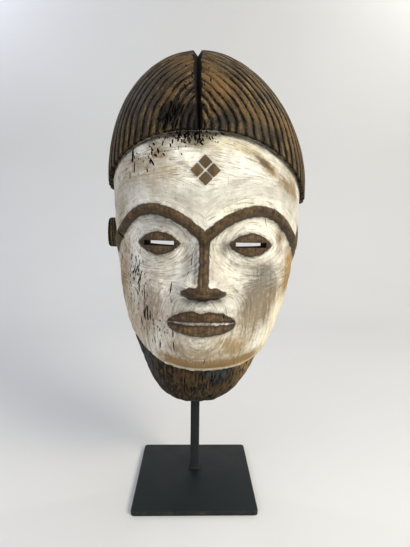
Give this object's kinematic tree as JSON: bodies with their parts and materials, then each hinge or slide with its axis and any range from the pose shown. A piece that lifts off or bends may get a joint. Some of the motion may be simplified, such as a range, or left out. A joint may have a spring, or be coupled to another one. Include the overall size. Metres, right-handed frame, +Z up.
{
  "type": "carved wooden mask on a stand",
  "caption": "Carved white-faced wooden mask with combed, parted hair and see-through eye slits, open at the back, held upright on a square steel bar and plate.",
  "frame": {"origin": "middle of the underside of the stand's plate", "axes": "+Z up along the bar, the mask looks along -Y, +X is to the viewer's right"},
  "size_m": [0.1603, 0.1498, 0.3596],
  "materials": {
    "mask_wood": "white clay paint worn to brown wood, dark brown hair and under-jaw band",
    "stand_steel": "matt black paint"
  },
  "bodies": {
    "root": {"mask": "mask_wood", "stand_plate": "stand_steel", "stand_bar": "stand_steel"}
  },
  "joints": []
}
